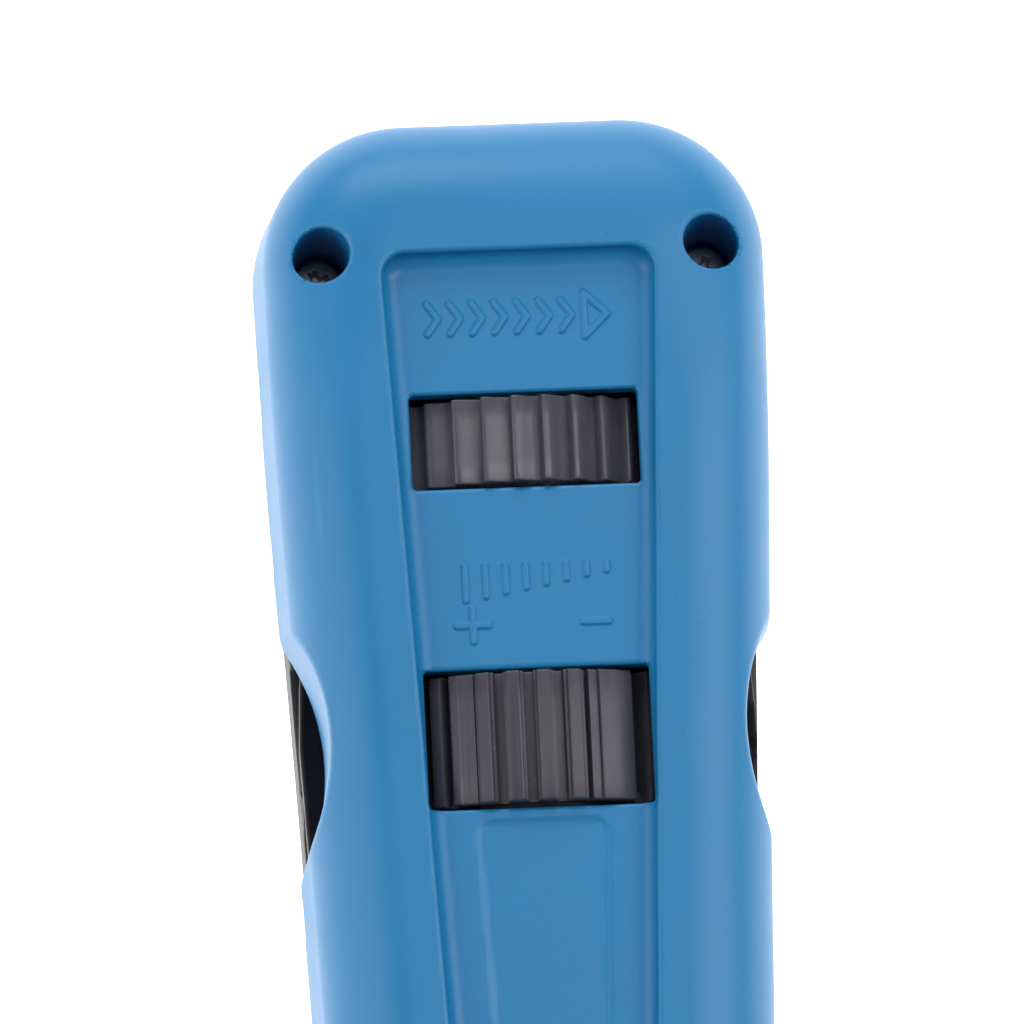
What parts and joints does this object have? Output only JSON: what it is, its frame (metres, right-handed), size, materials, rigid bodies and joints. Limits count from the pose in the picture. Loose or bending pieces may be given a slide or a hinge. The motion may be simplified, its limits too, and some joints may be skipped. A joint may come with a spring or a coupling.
{
  "type": "punch down tool",
  "caption": "Spring impact punch down tool: split-shell handle, toothed blade release wheel, ribbed impact knob, fold-out hook and spudger in the sides, and a hinged tail cap.",
  "frame": {"origin": "centre of the bounding box's underside: the tool lies on its back", "axes": "+Y along the tool to the nose, where the blade plugs in; +Z out of the front face with the wheels; +X to the right of that face"},
  "size_m": [0.036, 0.1376, 0.0286],
  "materials": {
    "blue_plastic": "satin moulded, medium blue",
    "black_plastic": "satin moulded, black",
    "grey_plastic": "satin moulded, dark grey",
    "screw_steel": "zinc-plated, bright",
    "turned_steel": "turned and ground",
    "spring_steel": "drawn wire, bright",
    "brass": "turned",
    "blackened_steel": "black oxide, slightly worn at the edges"
  },
  "bodies": {
    "body": {"front_shell": "blue_plastic", "rear_shell": "black_plastic", "nose_screw_left": "screw_steel", "nose_screw_right": "screw_steel", "tail_screw_left": "screw_steel", "tail_screw_right": "screw_steel", "nose_bushing": "turned_steel", "release_spring": "spring_steel", "return_spring": "spring_steel", "main_spring": "spring_steel", "detent_ball": "turned_steel", "detent_spring": "spring_steel", "end_plug": "turned_steel", "hook_pin": "turned_steel", "spudger_pin": "turned_steel", "hook_washer": "spring_steel", "spudger_washer": "spring_steel", "tail_cap_pin": "turned_steel"},
    "chuck": {"blade_chuck": "turned_steel", "chuck_clip": "spring_steel"},
    "lock": {"lock_pin": "turned_steel"},
    "release": {"release_wheel": "grey_plastic", "lock_sleeve": "turned_steel"},
    "hammer": {"hammer": "turned_steel", "trip_spring": "spring_steel"},
    "trip": {"trip_block": "brass"},
    "adjuster": {"impact_knob": "grey_plastic", "adjuster_tube": "turned_steel"},
    "seat": {"spring_seat": "brass"},
    "hook": {"hook": "blackened_steel"},
    "spudger": {"spudger": "blackened_steel"},
    "tail_cap": {"tail_cap": "black_plastic"}
  },
  "joints": [
    {"name": "blade_stroke", "type": "slide", "parent": "body", "child": "chuck", "axis": [0, -1, 0], "range_m": [0, 0.008], "stiffness_N_per_m": 150, "springref_m": -0.006, "deforming": ["return_spring"]},
    {"name": "hammer_stroke", "type": "slide", "parent": "body", "child": "hammer", "axis": [0, -1, 0], "range_m": [0, 0.008], "stiffness_N_per_m": 150, "springref_m": -0.004, "deforming": ["main_spring"]},
    {"name": "trip_shift", "type": "slide", "parent": "hammer", "child": "trip", "axis": [0, 0, 1], "range_m": [0, 0.0009], "stiffness_N_per_m": 60, "springref_m": -0.001, "deforming": ["trip_spring"]},
    {"name": "blade_release", "type": "hinge", "parent": "body", "child": "release", "pos_m": [0, 0.0449, 0.0155], "axis": [0, 1, 0], "range_deg": [0, 45], "stiffness_Nm_per_rad": 0.02, "springref_deg": -17.19, "deforming": ["release_spring"]},
    {"name": "lock_lift", "type": "slide", "parent": "chuck", "child": "lock", "axis": [0, 0, 1], "range_m": [0, 0.0006]},
    {"name": "impact_setting", "type": "hinge", "parent": "body", "child": "adjuster", "pos_m": [0, 0.02395, 0.0155], "axis": [0, 1, 0], "range_deg": [0, 45]},
    {"name": "seat_climb", "type": "slide", "parent": "adjuster", "child": "seat", "axis": [0, 1, 0], "range_m": [0, 0.0025]},
    {"name": "hook_fold", "type": "hinge", "parent": "body", "child": "hook", "pos_m": [-0.0119, -0.032, 0.0127], "axis": [0, 0, 1], "range_deg": [0, 120]},
    {"name": "spudger_fold", "type": "hinge", "parent": "body", "child": "spudger", "pos_m": [0.0119, -0.032, 0.0127], "axis": [0, 0, -1], "range_deg": [0, 120]},
    {"name": "tail_cap_hinge", "type": "hinge", "parent": "body", "child": "tail_cap", "pos_m": [0, -0.061, 0.0019], "axis": [1, 0, 0], "range_deg": [0, 75]}
  ],
  "couplings": [
    {"joint": "hammer_stroke", "follows": "blade_stroke", "ratio": 1},
    {"joint": "lock_lift", "follows": "blade_release", "m_per_rad": 0.00076394},
    {"joint": "seat_climb", "follows": "impact_setting", "m_per_rad": 0.0031831}
  ]
}
